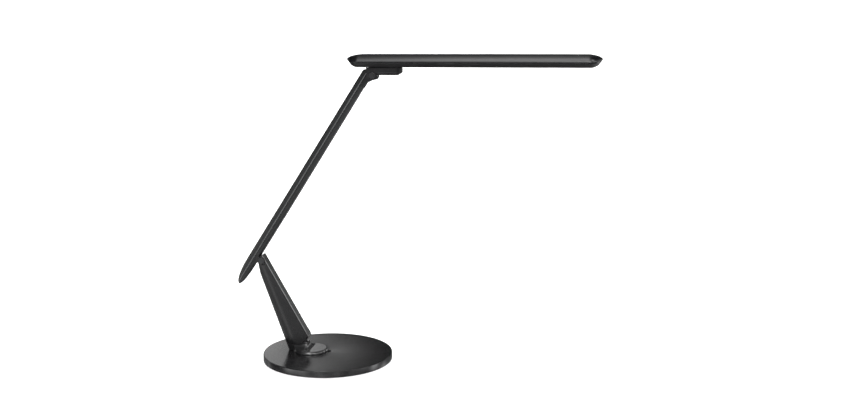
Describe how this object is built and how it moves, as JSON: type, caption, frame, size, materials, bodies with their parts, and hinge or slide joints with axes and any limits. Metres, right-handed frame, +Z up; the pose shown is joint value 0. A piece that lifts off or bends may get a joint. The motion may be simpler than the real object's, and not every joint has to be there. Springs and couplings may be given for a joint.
{
  "type": "desk lamp",
  "caption": "Folding LED desk lamp in satin black with a slim bar head, a straight arm on a leaning stem, and a round weighted base with a swivelling foot.",
  "frame": {"origin": "centre of the underside of the base pad, on the table", "axes": "+Z up, +X the way the head points, +Y towards the back, along the hinge axes"},
  "size_m": [0.554, 0.2, 0.4718],
  "materials": {
    "black_shell": "satin black moulded plastic",
    "steel": "plain zinc-plated steel",
    "fastener": "bright zinc-plated steel",
    "dark_fastener": "steel with a black finish",
    "alloy": "plain aluminium",
    "grip_pad": "dark anti-slip foam rubber",
    "inlet": "black insulating plastic",
    "wire": "black soft insulation",
    "washer": "off-white slippery nylon",
    "diffuser": "milky white translucent acrylic",
    "light_guide": "clear acrylic with a fine dot pattern",
    "reflector": "white reflective film",
    "led_strip": "white strip with yellow light emitters",
    "board": "green circuit board"
  },
  "bodies": {
    "base": {"base_cover": "black_shell", "base_weight": "steel", "base_plate": "steel", "base_pad": "grip_pad", "base_screws": "fastener", "dc_socket": "inlet", "base_lead": "wire", "swivel_washer": "washer", "swivel_spring": "steel"},
    "turntable": {"turntable": "black_shell", "swivel_plate": "steel", "swivel_axle": "steel", "swivel_nut": "steel", "foot_lug": "steel", "foot_lug_screws": "fastener", "turntable_lead": "wire"},
    "stem": {"stem_housing": "black_shell", "stem_cover": "black_shell", "stem_plate_front": "steel", "stem_plate_rear": "steel", "elbow_tongue": "steel", "stem_bolts": "fastener", "foot_pin": "fastener", "foot_nut": "fastener", "foot_washers": "washer", "elbow_washers": "washer", "stem_lead": "wire"},
    "arm": {"arm_top_shell": "black_shell", "arm_bottom_shell": "black_shell", "arm_core": "alloy", "elbow_bracket": "black_shell", "elbow_pin": "dark_fastener", "elbow_nut": "dark_fastener", "head_lug": "steel", "arm_screws": "fastener", "arm_lead": "wire"},
    "yoke": {"head_yoke": "black_shell", "yoke_cover": "black_shell", "head_pin": "dark_fastener", "head_nut": "dark_fastener", "head_washers": "washer", "head_spring": "steel", "yoke_lead": "wire"},
    "head": {"head_axle": "steel", "head_axle_nut": "steel", "head_top_shell": "black_shell", "head_bottom_frame": "black_shell", "diffuser": "diffuser", "light_guide": "light_guide", "reflector": "reflector", "led_strips": "led_strip", "heat_spreader": "alloy", "touch_board": "board", "head_screws": "fastener", "head_lead": "wire"}
  },
  "joints": [
    {"name": "base_swivel", "type": "hinge", "parent": "base", "child": "turntable", "pos_m": [-0.0275, 0, 0.0117], "axis": [0, 0, 1], "range_deg": [-90, 90]},
    {"name": "stem_tilt", "type": "hinge", "parent": "turntable", "child": "stem", "pos_m": [-0.0445, 0, 0.0343], "axis": [0, 1, 0], "range_deg": [0, 26]},
    {"name": "elbow", "type": "hinge", "parent": "stem", "child": "arm", "pos_m": [-0.1035, 0, 0.15249], "axis": [0, 1, 0], "range_deg": [-36, 8]},
    {"name": "head_tilt", "type": "hinge", "parent": "arm", "child": "yoke", "pos_m": [0.07483, 0, 0.44022], "axis": [0, 1, 0], "range_deg": [-6, 90]},
    {"name": "head_swivel", "type": "hinge", "parent": "yoke", "child": "head", "pos_m": [0.10503, 0, 0.45252], "axis": [0, 0, 1], "range_deg": [-90, 90]}
  ]
}
